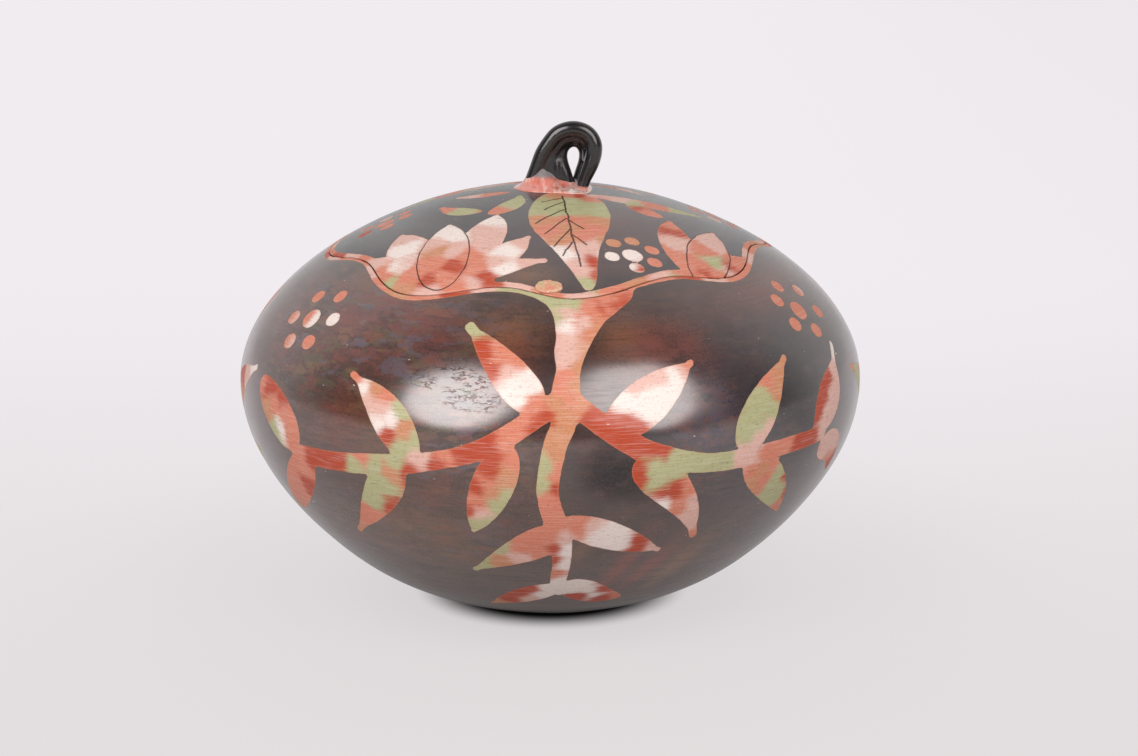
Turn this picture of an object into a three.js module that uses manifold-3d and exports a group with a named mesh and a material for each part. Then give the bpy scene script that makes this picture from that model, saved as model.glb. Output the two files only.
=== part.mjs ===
// Lidded clay jar: a round-bellied shell, a lid cut from its crown along a scalloped line,
// and a looped handle of two clay coils bedded in a collar of slip.
// Millimetres, +Z up. The origin is the centre of the flat resting face, and -Y is the front.
import * as THREE from "three";
import { mergeVertices } from "three/addons/utils/BufferGeometryUtils.js";
import Module from "manifold-3d";

const wasm = await Module();
wasm.setup();

// Shell. Its outline is an ellipse above and below the widest point, made fuller or leaner.
const bellyRadius = 100; // outer radius at the widest point
const bellyHeight = 72.6; // widest point above the resting face
const footSink = 1.5; // from the resting face down to where the outline would close
const domeHeight = 61.5; // widest point to the crown
const bellyFullness = [0.574, -0.282];
const domeFullness = [0.208, 0];
const wallThickness = 5;
const floorThickness = 6.5;

// Scalloped cut between jar and lid, made freehand: crests and troughs by turns.
// Turns are in degrees from the front towards +X, rises are shares of seamWave.
const seamHeight = 41.8; // above the widest point
const seamWave = 2.9; // the usual rise of a crest, and fall of a trough
const seamKnots = [
  { turn: -84, rise: -0.21 },
  { turn: -60, rise: 0.69 },
  { turn: -35, rise: -1.03 },
  { turn: -11, rise: 0.21 },
  { turn: 6, rise: -0.62 },
  { turn: 33, rise: 0.55 },
  { turn: 51, rise: -0.28 },
  { turn: 77, rise: 0.97 },
  { turn: 100, rise: -0.14 },
  { turn: 124, rise: 0.62 },
  { turn: 147, rise: -0.52 },
  { turn: 170, rise: 0.41 },
  { turn: 192, rise: -0.48 },
  { turn: 214, rise: 0.48 },
  { turn: 236, rise: -0.55 },
  { turn: 257, rise: 0.55 },
];
const knifeAngle = 45; // degrees above the horizontal, at which the knife slopes outwards
const seamGap = 0.3; // kerf left by the knife, square to the cut

// Handle: two coils side by side, each a crook with a straight leg on either side of it.
// A leg leaves the crook along its tangent, at an angle in degrees from +X.
const coilRadius = 2.45;
const frontCoil = {
  crook: { x: 7.1, y: -2.1, height: 12.2, radius: 7.2 },
  leftLeg: { turn: 155, y: -0.3 },
  rightLeg: { turn: -21, y: -2.75 },
};
const backCoil = {
  crook: { x: 7.25, y: 2.1, height: 10.4, radius: 4.5 },
  leftLeg: { turn: 190, y: 0.2 },
  rightLeg: { turn: -10, y: 2.75 },
};
const coilFootDepth = 1.2; // how far the legs run on below the crown, before they are cut to it
const luteGap = 0.3; // left between pieces that are luted together

// Collar: two low mounds of clay around the coils' feet
const leftMound = { x: -1.6, y: 0.2, length: 21, width: 20, rise: 3.3 };
const rightMound = { x: 8.4, y: 0, length: 17, width: 20, rise: 2.2 };

// Alignment pad on the lid's rim
const padTurn = 0; // degrees from the front
const padWidth = 9.4; // along the rim
const padLength = 6.6; // up the slope
const padThickness = 1.1;
const padInset = 0.5; // from the rim to the pad

// Facets
const sides = 72;
const seamSides = 96;
const outerRows = 12; // in the dome, and in the belly
const innerRows = 9;
const coilSides = 12;
const coilSteps = 32;
const moundSides = 24;

const bellyDepth = bellyHeight + footSink; // widest point to where the outline would close
const crownHeight = bellyHeight + domeHeight;
const radians = (degrees) => (degrees * Math.PI) / 180;
const between = (a, b, share) => a + (b - a) * share;

// Outline. A share is a height measured from the widest point, 1 where the outline closes.
const radiusShare = (share, [quartic, octic]) =>
  Math.sqrt(
    Math.max(0, 1 - (1 + quartic + octic) * share ** 2 + quartic * share ** 4 + octic * share ** 8),
  );

const outerRadiusAt = (height) =>
  bellyRadius * radiusShare(height / domeHeight, domeFullness);

// The dome's height above the resting face, at a radius
function outerHeightAt(radius) {
  const [quartic] = domeFullness;
  const rest = 1 - (radius / bellyRadius) ** 2;
  const root = Math.sqrt((1 + quartic) ** 2 - 4 * quartic * rest);
  return bellyHeight + domeHeight * Math.sqrt((1 + quartic - root) / (2 * quartic));
}

// The shell's outline grown by a distance, inwards if it is negative, and cut off at a flat floor
function formPoints(growth, floor, rows) {
  const radius = bellyRadius + growth;
  const dome = domeHeight + growth;
  const depth = bellyDepth + growth;
  const lowest = Math.asin((bellyHeight - floor) / depth);
  const points = [new THREE.Vector2(0, floor)];
  for (let i = 0; i <= rows; i++) {
    const share = Math.sin(between(lowest, 0, i / rows));
    const height = i === 0 ? floor : bellyHeight - depth * share;
    points.push(new THREE.Vector2(radius * radiusShare(share, bellyFullness), height));
  }
  for (let i = 1; i < rows; i++) {
    const share = Math.sin(between(0, Math.PI / 2, i / rows));
    points.push(
      new THREE.Vector2(radius * radiusShare(share, domeFullness), bellyHeight + dome * share),
    );
  }
  points.push(new THREE.Vector2(0, bellyHeight + dome));
  return points;
}

// three.js geometry to a manifold solid, and back
function solidOf(geometry) {
  const bare = geometry.clone();
  bare.deleteAttribute("normal");
  bare.deleteAttribute("uv");
  const merged = mergeVertices(bare, 1e-4);
  const corners = merged.index.array;
  const kept = [];
  for (let i = 0; i < corners.length; i += 3) {
    const [a, b, c] = corners.subarray(i, i + 3);
    if (a !== b && b !== c && c !== a) kept.push(a, b, c);
  }
  return new wasm.Manifold(
    new wasm.Mesh({
      numProp: 3,
      vertProperties: new Float32Array(merged.attributes.position.array),
      triVerts: new Uint32Array(kept),
    }),
  );
}

function geometryOf(solid) {
  const made = solid.getMesh();
  const geometry = new THREE.BufferGeometry();
  geometry.setAttribute("position", new THREE.BufferAttribute(made.vertProperties, 3));
  geometry.setIndex(new THREE.BufferAttribute(made.triVerts, 1));
  geometry.computeVertexNormals();
  return geometry;
}

// Turned about +Z, its first side facing the front
function formSolid(growth, floor, rows) {
  const geometry = new THREE.LatheGeometry(formPoints(growth, floor, rows), sides);
  geometry.rotateX(Math.PI / 2);
  return solidOf(geometry);
}

// Seam
function seamHeightAt(turn) {
  const first = radians(seamKnots[0].turn);
  const wrapped = first + THREE.MathUtils.euclideanModulo(turn - first, 2 * Math.PI);
  const last = { turn: seamKnots[0].turn + 360, rise: seamKnots[0].rise };
  const next = seamKnots.findIndex((knot) => radians(knot.turn) > wrapped);
  const before = seamKnots.at(next < 0 ? -1 : next - 1);
  const after = next < 0 ? last : seamKnots[next];
  const share = (wrapped - radians(before.turn)) / radians(after.turn - before.turn);
  const rise = between(before.rise, after.rise, 0.5 - 0.5 * Math.cos(share * Math.PI));
  return seamHeight + rise * seamWave;
}

function seamPoint(turn) {
  const height = seamHeightAt(turn);
  const radius = outerRadiusAt(height);
  return new THREE.Vector3(
    radius * Math.sin(turn),
    -radius * Math.cos(turn),
    bellyHeight + height,
  );
}

// Where the knife would meet the axis, below the seam
const knifePoint = new THREE.Vector3(
  0,
  0,
  bellyHeight + seamHeight - outerRadiusAt(seamHeight) * Math.tan(radians(knifeAngle)),
);

// A scalloped cone through the seam, closed above the crown. The lid is what lies inside it.
function lidCone() {
  const reach = 1.3; // how far past the shell the cone runs, as a share
  const top = new THREE.Vector3(0, 0, crownHeight + bellyRadius);
  const vertices = [knifePoint, top];
  const faces = [];
  for (let i = 0; i < seamSides; i++) {
    const point = seamPoint((i / seamSides) * 2 * Math.PI);
    vertices.push(point.sub(knifePoint).multiplyScalar(reach).add(knifePoint));
    const here = 2 + i;
    const next = 2 + ((i + 1) % seamSides);
    faces.push(0, next, here, 1, here, next);
  }
  const geometry = new THREE.BufferGeometry().setFromPoints(vertices);
  geometry.setIndex(faces);
  return solidOf(geometry);
}

// Handle
function coilRoute({ crook, leftLeg, rightLeg }) {
  const crookPoint = (turn, y) =>
    new THREE.Vector3(
      crook.x + crook.radius * Math.cos(turn),
      y,
      crownHeight + crook.height + crook.radius * Math.sin(turn),
    );
  const footPoint = (turn, y) => {
    const point = crookPoint(turn, y);
    const drop = point.z - crownHeight + coilFootDepth;
    return point.add(new THREE.Vector3(drop * Math.tan(turn), 0, -drop));
  };
  const [start, end] = [radians(leftLeg.turn), radians(rightLeg.turn)];
  const points = [footPoint(start, leftLeg.y)];
  const bends = 10;
  for (let i = 0; i <= bends; i++) {
    const share = i / bends;
    points.push(crookPoint(between(start, end, share), between(crook.y, rightLeg.y, share)));
  }
  points.push(footPoint(end, rightLeg.y));
  return new THREE.CatmullRomCurve3(points, false, "centripetal");
}

function coilSolid(coil, growth) {
  const section = new THREE.Shape();
  section.absarc(0, 0, coilRadius + growth, 0, 2 * Math.PI);
  return solidOf(
    new THREE.ExtrudeGeometry(section, {
      steps: coilSteps,
      curveSegments: coilSides / 2,
      extrudePath: coilRoute(coil),
    }),
  );
}

function moundSolid({ x, y, length, width, rise }) {
  const geometry = new THREE.SphereGeometry(1, moundSides, moundSides / 2);
  geometry.rotateX(Math.PI / 2);
  geometry.scale(length / 2, width / 2, rise);
  geometry.translate(x, y, crownHeight);
  return solidOf(geometry);
}

// Alignment pad: a flattened drop of clay laid on the dome, up from the rim
function padSolid() {
  const turn = radians(padTurn);
  const rim = seamPoint(turn);
  const rimRadius = Math.hypot(rim.x, rim.y);
  const slope = Math.atan2(outerHeightAt(rimRadius - padLength) - rim.z, padLength);
  const middle = rimRadius - (padInset + padLength / 2) * Math.cos(slope);
  const geometry = new THREE.SphereGeometry(1, moundSides, moundSides / 2);
  geometry.rotateX(Math.PI / 2);
  geometry.scale(padWidth / 2, padLength / 2, padThickness);
  geometry.rotateX(slope);
  geometry.translate(0, -middle, outerHeightAt(middle));
  geometry.rotateZ(turn);
  return solidOf(geometry);
}

// Solids
const outside = formSolid(0, 0, outerRows);
const inside = formSolid(-wallThickness, floorThickness, innerRows);
const clearOfShell = formSolid(luteGap, -luteGap, outerRows);
const shell = outside.subtract(inside);
const cone = lidCone();
const jarCone = cone.translate([0, 0, -seamGap / Math.cos(radians(knifeAngle))]);

const frontCoilSolid = coilSolid(frontCoil, 0).subtract(clearOfShell);
const backCoilSolid = coilSolid(backCoil, 0).subtract(clearOfShell);
const collarSolid = moundSolid(leftMound)
  .add(moundSolid(rightMound))
  .subtract(clearOfShell)
  .subtract(coilSolid(frontCoil, luteGap))
  .subtract(coilSolid(backCoil, luteGap));

// Materials
const smokedSlip = { color: 0x3a2f2c, roughness: 0.34, metalness: 0 };
const blackClay = { color: 0x1c1a1a, roughness: 0.16, metalness: 0 };
const redSlip = { color: 0xd0705a, roughness: 0.3, metalness: 0 };
const paleClay = { color: 0xc9a589, roughness: 0.6, metalness: 0 };

function piece(name, solid, finish) {
  const mesh = new THREE.Mesh(geometryOf(solid), new THREE.MeshStandardMaterial(finish));
  mesh.name = name;
  return mesh;
}

const lidGroup = new THREE.Group();
lidGroup.add(
  piece("lid", shell.intersect(cone), smokedSlip),
  piece("handle_collar", collarSolid, redSlip),
  piece("handle_front_coil", frontCoilSolid, blackClay),
  piece("handle_back_coil", backCoilSolid, blackClay),
  piece("alignment_pad", padSolid().intersect(cone).subtract(clearOfShell), paleClay),
);

const jar = new THREE.Group();
jar.add(piece("jar_body", shell.subtract(jarCone), smokedSlip), lidGroup);

export default jar;
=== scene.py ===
import math
import bpy
import numpy as np
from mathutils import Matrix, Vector, noise


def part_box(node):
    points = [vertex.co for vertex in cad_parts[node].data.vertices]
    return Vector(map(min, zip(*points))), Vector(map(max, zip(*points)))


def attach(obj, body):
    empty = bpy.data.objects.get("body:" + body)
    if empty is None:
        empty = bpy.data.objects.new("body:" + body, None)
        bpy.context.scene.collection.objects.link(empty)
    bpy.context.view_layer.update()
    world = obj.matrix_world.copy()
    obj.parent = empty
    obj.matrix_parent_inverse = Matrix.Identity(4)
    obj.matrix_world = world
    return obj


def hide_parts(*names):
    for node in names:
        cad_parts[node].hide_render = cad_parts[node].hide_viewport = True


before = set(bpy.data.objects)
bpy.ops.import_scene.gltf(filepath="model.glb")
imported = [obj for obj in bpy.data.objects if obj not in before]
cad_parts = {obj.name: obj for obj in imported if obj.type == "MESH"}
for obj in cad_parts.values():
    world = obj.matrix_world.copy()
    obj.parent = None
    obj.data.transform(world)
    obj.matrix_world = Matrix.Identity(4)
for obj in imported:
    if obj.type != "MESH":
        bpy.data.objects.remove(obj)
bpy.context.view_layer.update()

mm = 0.001  # shapes are worked out in millimetres, meshes are made in metres
print("frame loaded")

form = {  # the jar's outline, as it was thrown and scraped
    "bellyRadius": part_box("jar_body")[1].x / mm,
    "bellyHeight": 72.6,  # widest point above the resting face
    "footSink": 1.5,  # from the resting face down to where the outline would close
    "crown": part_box("lid")[1].z / mm,
    "bellyFullness": (0.574, -0.282),
    "domeFullness": (0.208, 0.0),
    "wall": 5.0,
    "floor": 6.5,
    "footRound": 1.6,  # rounding of the resting face's edge
}
form["domeHeight"] = form["crown"] - form["bellyHeight"]
form["bellyDepth"] = form["bellyHeight"] + form["footSink"]

seam = {  # the scalloped cut between jar and lid
    "height": 41.8,  # above the widest point
    "wave": 2.9,
    "knifeAngle": 45,
    "kerf": 0.3,
    "lip": 0.55,  # rounding of the cut's edges
    "chip": 0.5,  # how much further the edge is worn away in places
    "chipSizes": (5.0, 1.6),  # of the broad chips and of the fine ones
    "innerLip": 0.7,
    "turns": (-84, -60, -35, -11, 6, 33, 51, 77, 100, 124, 147, 170, 192, 214, 236, 257),
    "rises": (-0.21, 0.69, -1.03, 0.21, -0.62, 0.55, -0.28, 0.97,
              -0.14, 0.62, -0.52, 0.41, -0.48, 0.48, -0.55, 0.55),
}


# Outline. Rises are heights above the widest point, growth makes the form larger all round.
def radiusShare(share, fullness):
    quartic, octic = fullness
    left = 1 - (1 + quartic + octic) * share**2 + quartic * share**4 + octic * share**8
    return np.sqrt(np.maximum(left, 0))


def formRadius(rise, growth=0.0):
    rise = np.asarray(rise, float)
    dome = radiusShare(np.maximum(rise, 0) / (form["domeHeight"] + growth), form["domeFullness"])
    belly = radiusShare(np.maximum(-rise, 0) / (form["bellyDepth"] + growth), form["bellyFullness"])
    return (form["bellyRadius"] + growth) * np.where(rise > 0, dome, belly)


riseTable = np.concatenate([  # closer together towards the crown, where the outline turns over
    np.linspace(-form["bellyHeight"], 0, 2000),
    form["domeHeight"] * np.sin(np.linspace(0, math.pi / 2, 2000))[1:],
])
radiusTable = formRadius(riseTable)
radiusTable[-1] = 0
climbTable = np.concatenate([[0], np.cumsum(np.hypot(np.diff(radiusTable), np.diff(riseTable)))])
climbTable -= np.interp(0, riseTable, climbTable)  # way along the outline, 0 at the widest point


def climbOf(rise):
    return np.interp(rise, riseTable, climbTable)


def riseOf(climb):
    return np.interp(climb, climbTable, riseTable)


def domeRise(radius):  # the dome's rise at a distance from the axis
    dome = riseTable >= 0
    return np.interp(-np.asarray(radius, float), -radiusTable[dome], riseTable[dome])


def outwards(climb):  # the outline's normal, as its radial and upward parts
    step = 0.2
    low, high = climb - step, np.minimum(climb + step, climbTable[-1])
    alongRadius = formRadius(riseOf(high)) - formRadius(riseOf(low))
    alongRise = riseOf(high) - riseOf(low)
    size = np.hypot(alongRadius, alongRise)
    return alongRise / size, -alongRadius / size


def seamRise(turn):  # turns here are in radians from the front towards +X
    knots = np.radians(seam["turns"] + (seam["turns"][0] + 360,))
    rises = np.array(seam["rises"] + (seam["rises"][0],))
    wrapped = knots[0] + (turn - knots[0]) % (2 * math.pi)
    before = np.clip(np.searchsorted(knots, wrapped, side="right") - 1, 0, len(knots) - 2)
    share = (wrapped - knots[before]) / (knots[before + 1] - knots[before])
    eased = 0.5 - 0.5 * np.cos(math.pi * share)
    rise = rises[before] + (rises[before + 1] - rises[before]) * eased
    return seam["height"] + seam["wave"] * rise


def spotNoise(x, y, z, size, seed=0.0):  # smooth noise from -1 to 1 at points in millimetres
    spots = zip(np.ravel(x) / size, np.ravel(y) / size, np.ravel(z) / size)
    values = [noise.noise(Vector((a + seed, b, c))) for a, b, c in spots]
    return np.reshape(values, np.shape(x))


# Shells: a ring of columns, each a path from one point on the axis to another.
shellMesh = {
    "columns": 540,
    "bellyRows": 100,
    "domeRows": 50,
    "lidRows": 74,
    "innerRows": 12,
    "sag": 0.35,  # how far hand scraping leaves the wall inside the true form
    "sagSize": 34,
    "sagStretch": 1.4,  # how much closer together the sags lie upwards
}


def curveCorner(start, corner, end, count):  # a rounded corner between two ways
    share = np.linspace(0, 1, count)
    return [(1 - t) ** 2 * start + 2 * t * (1 - t) * corner + t**2 * end for t in share]


def lipRows(turn, side):
    # The cut's edge for the jar, side -1, or the lid, side +1: rounded corners and the cut between
    rise = seamRise(turn)
    radius = formRadius(rise)
    slope = math.tan(math.radians(seam["knifeAngle"]))
    knifeRise = seam["height"] - formRadius(seam["height"]) * slope
    awayRadius, awayRise = radius, rise - knifeRise
    size = np.hypot(awayRadius, awayRise)
    awayRadius, awayRise = awayRadius / size, awayRise / size
    climb = climbOf(rise)
    if side < 0:
        climb = climb - seam["kerf"]
    x, y = radius * np.sin(turn), radius * np.cos(turn)
    broadSize, fineSize = seam["chipSizes"]
    broad = spotNoise(x, y, side * 20 + 0 * turn, broadSize)
    fine = spotNoise(x, y, side * 40 + 0 * turn, fineSize)
    worn = np.clip(broad * 1.4 + fine * 0.8, 0, 1)
    lip = seam["lip"] + seam["chip"] * worn
    start = climb + side * lip
    startRadius, startRise = formRadius(riseOf(start)), riseOf(start)
    cornerRadius, cornerRise = formRadius(riseOf(climb)), riseOf(climb)
    low, high = np.zeros_like(turn), np.full_like(turn, 3 * form["wall"])
    for _ in range(30):  # where the cut comes out inside
        depth = (low + high) / 2
        inside = formRadius(cornerRise - depth * awayRise, -form["wall"])
        within = cornerRadius - depth * awayRadius < inside
        low, high = np.where(within, low, depth), np.where(within, depth, high)
    depth = (low + high) / 2
    innerRadius, innerRise = cornerRadius - depth * awayRadius, cornerRise - depth * awayRise
    innerStartRise = innerRise + side * seam["innerLip"] * 0.7
    innerStartRadius = formRadius(innerStartRise, -form["wall"])
    radii = curveCorner(startRadius, cornerRadius, cornerRadius - lip * awayRadius, 7)
    rises = curveCorner(startRise, cornerRise, cornerRise - lip * awayRise, 7)
    for share in (0.35, 0.65):
        radii.append(cornerRadius - depth * share * awayRadius)
        rises.append(cornerRise - depth * share * awayRise)
    cutEnd = depth - seam["innerLip"]
    radii += curveCorner(cornerRadius - cutEnd * awayRadius, innerRadius, innerStartRadius, 4)
    rises += curveCorner(cornerRise - cutEnd * awayRise, innerRise, innerStartRise, 4)
    return radii, rises, start


def innerBelly(rows):  # inside of the jar, from the widest point down to the floor
    depth = form["bellyDepth"] - form["wall"]
    lowest = math.asin((form["bellyHeight"] - form["floor"]) / depth)
    rises = -depth * np.sin(np.linspace(0, lowest, rows))
    return formRadius(rises, -form["wall"]), rises


def jarPaths(turn):
    ones = np.ones_like(turn)
    footClimb = climbTable[0]
    footRadius = formRadius(-form["bellyHeight"])
    radii = [ones * share * footRadius for share in (0.35, 0.7)]
    rises = [-form["bellyHeight"] * ones for _ in radii]
    startClimb = footClimb + form["footRound"]
    roundTo = formRadius(riseOf(startClimb)) * ones
    flatRadius = footRadius - form["footRound"]
    radii += curveCorner(flatRadius * ones, footRadius * ones, roundTo, 6)
    rises += curveCorner(rises[0], rises[0], riseOf(startClimb) * ones, 6)
    firstOuter = len(radii)
    for climb in np.linspace(startClimb, 0, shellMesh["bellyRows"])[1:]:
        radii.append(formRadius(riseOf(climb)) * ones)
        rises.append(riseOf(climb) * ones)
    lipRadii, lipRises, lipClimb = lipRows(turn, -1)
    for share in np.linspace(0, 1, shellMesh["domeRows"])[1:-1]:
        radii.append(formRadius(riseOf(lipClimb * share)))
        rises.append(riseOf(lipClimb * share))
    radii += lipRadii
    rises += lipRises
    lastOuter = len(radii) - 6
    for share in (0.75, 0.5, 0.25):
        radii.append(formRadius(lipRises[-1] * share, -form["wall"]))
        rises.append(lipRises[-1] * share)
    for radius, rise in zip(*innerBelly(shellMesh["innerRows"])):
        radii.append(radius * ones)
        rises.append(rise * ones)
    for share in (0.6, 0.25):
        radii.append(radii[-1] * 0 + innerBelly(2)[0][-1] * share)
        rises.append(rises[-1])
    return np.stack(radii, 1), np.stack(rises, 1), (firstOuter, lastOuter)


def lidPaths(turn):
    ones = np.ones_like(turn)
    lipRadii, lipRises, lipClimb = lipRows(turn, 1)
    radii, rises = [], []
    innerHeight = form["domeHeight"] - form["wall"]
    start = np.arcsin(np.clip(lipRises[-1] / innerHeight, 0, 1))
    for share in np.linspace(0, 1, shellMesh["innerRows"])[:0:-1]:
        rise = innerHeight * np.sin(start + (math.pi / 2 - start) * share * 0.98)
        radii.append(formRadius(rise, -form["wall"]))
        rises.append(rise)
    radii += lipRadii[::-1]
    rises += lipRises[::-1]
    firstOuter = len(radii) - 7
    topClimb = climbTable[-1]
    for share in np.linspace(0, 0.99, shellMesh["lidRows"])[1:]:
        climb = lipClimb + (topClimb - lipClimb) * share
        radii.append(formRadius(riseOf(climb)))
        rises.append(riseOf(climb))
    return np.stack(radii, 1), np.stack(rises, 1), (firstOuter, len(radii))


def turnedShell(name, paths, poles):
    turn = np.linspace(-math.pi, math.pi, shellMesh["columns"], endpoint=False)
    radii, rises, outer = paths(turn)
    count = radii.shape[1]
    sine, cosine = np.sin(turn)[:, None], np.cos(turn)[:, None]
    x, y = radii * sine, -radii * cosine
    sag = np.zeros_like(radii)
    part = (slice(None), slice(*outer))
    spots = x[part], y[part], rises[part] * shellMesh["sagStretch"]
    ripple = spotNoise(*spots, shellMesh["sagSize"])
    ripple += 0.35 * spotNoise(*spots, shellMesh["sagSize"] / 3, 7.0)
    sag[part] = shellMesh["sag"] * np.clip(0.5 + 0.6 * ripple, 0, 1)
    climbs = climbOf(rises)
    outRadius, outRise = outwards(climbs)
    radii, rises = radii - sag * outRadius, rises - sag * outRise
    x, y, z = radii * sine, -radii * cosine, rises + form["bellyHeight"]
    ends = [(0, 0, height) for height in poles]
    grid = np.stack([x, y, z], -1).reshape(-1, 3)
    verts = np.vstack([grid, ends]) * mm
    columns = shellMesh["columns"]
    here = np.arange(columns) * count
    beside = (np.arange(columns) + 1) % columns * count
    faces = []
    for row in range(count - 1):
        faces += np.stack([here + row, beside + row, beside + row + 1, here + row + 1], 1).tolist()
    first, last = columns * count, columns * count + 1
    faces += [(first, b, a) for a, b in zip(here.tolist(), beside.tolist())]
    here, beside = here + count - 1, beside + count - 1
    faces += [(last, a, b) for a, b in zip(here.tolist(), beside.tolist())]
    shell = makePiece(name, verts, faces)
    where = {
        "x": np.append(x.ravel(), [0, 0]),
        "y": np.append(y.ravel(), [0, 0]),
        "rise": np.append(rises.ravel(), np.array(poles) - form["bellyHeight"]),
        "turn": np.append(np.repeat(turn, count), [0, 0]),
    }
    where["climb"] = climbOf(where["rise"])
    inner = np.ones(radii.shape, bool)
    inner[part] = False
    where["inner"] = np.append(inner.ravel(), [poles[0] > 1, poles[1] < form["crown"] - 1])
    return shell, where


def makePiece(name, verts, faces):
    mesh = bpy.data.meshes.new(name)
    mesh.from_pydata(verts.tolist() if hasattr(verts, "tolist") else verts, [], faces)
    mesh.shade_smooth()
    piece = bpy.data.objects.new(name, mesh)
    bpy.context.scene.collection.objects.link(piece)
    return piece


def keepField(piece, name, values, kind="FLOAT"):  # a value at every vertex, for the paint to read
    field = piece.data.attributes.new(name, kind, "POINT")
    key = {"FLOAT": "value", "FLOAT_VECTOR": "vector", "FLOAT_COLOR": "color"}[kind]
    field.data.foreach_set(key, np.ascontiguousarray(values, np.float32).ravel())


# Slips and smoke tones, as they look in daylight
def daylight(red, green, blue):
    return tuple(((c / 255 + 0.055) / 1.055) ** 2.4 for c in (red, green, blue)) + (1.0,)


slips = {
    "red": daylight(166, 66, 41),
    "salmon": daylight(194, 120, 97),
    "cream": daylight(218, 207, 200),
    "green": daylight(162, 163, 122),
    "orange": daylight(184, 128, 95),
    "blush": daylight(203, 164, 152),
}
red, salmon, cream, green, orange, blush = slips  # their names
tones = {
    "charcoal": daylight(37, 32, 37),
    "brown": daylight(64, 39, 28),
    "ochre": daylight(118, 82, 54),
    "plum": daylight(104, 54, 50),
    "ash": daylight(74, 60, 51),
    "umber": daylight(118, 54, 38),
    "night": daylight(18, 13, 15),
    "dusk": daylight(84, 74, 84),
    "moss": daylight(80, 70, 46),
}
charcoal, brown, ochre, plum, ash, umber, night, dusk, moss = tones


# Painting. A sheet lays part of a shell flat, in millimetres, and lifts points back onto it.
def wrapTurn(turn):
    return (turn + math.pi) % (2 * math.pi) - math.pi


class WallSheet:  # on the jar's wall: points are (degrees from the sheet's middle, rise)
    def __init__(self, middle, radius):
        self.middle, self.radius = math.radians(middle), radius

    def place(self, turn, rise):
        return np.array([math.radians(turn) * self.radius, float(climbOf(rise))])

    def flat(self, where):
        return wrapTurn(where["turn"] - self.middle) * self.radius, where["climb"]

    def lift(self, across, along):
        turn, rise = self.middle + across / self.radius, riseOf(along)
        radius = formRadius(rise)
        return radius * np.sin(turn), -radius * np.cos(turn), rise


class CrownSheet:  # on the lid, seen from straight above: points are (x, y) with the front at -Y
    def __init__(self, middle):
        self.middle = math.radians(middle)

    def place(self, x, y):
        return np.array([x, y], float)

    def flat(self, where):
        sine, cosine = math.sin(self.middle), math.cos(self.middle)
        return where["x"] * cosine + where["y"] * sine, where["y"] * cosine - where["x"] * sine

    def lift(self, x, y):
        sine, cosine = math.sin(self.middle), math.cos(self.middle)
        spot = x * cosine - y * sine, y * cosine + x * sine
        return *spot, domeRise(np.hypot(*spot))


def smoothRows(stations):  # a smooth way through rows of numbers
    rows = np.array(stations, float)
    rows = np.vstack([2 * rows[0] - rows[1], rows, 2 * rows[-1] - rows[-2]])
    made = []
    for a, b, c, d in zip(rows, rows[1:], rows[2:], rows[3:]):
        for t in np.linspace(0, 1, 8, endpoint=False):
            cubic = (3 * b - a - 3 * c + d) * t**3 + (2 * a - 5 * b + 4 * c - d) * t**2
            made.append((cubic + (c - a) * t + 2 * b) / 2)
    return np.array(made + [rows[-2]])


def join(first, second, fillet):  # two distances joined, with a rounded inner corner
    if not fillet:
        return np.minimum(first, second)
    lean = np.maximum(fillet - np.abs(first - second), 0) / fillet
    return np.minimum(first, second) - lean * lean * fillet / 4


farAway = 12.0  # millimetres, further than any paint reaches


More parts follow.
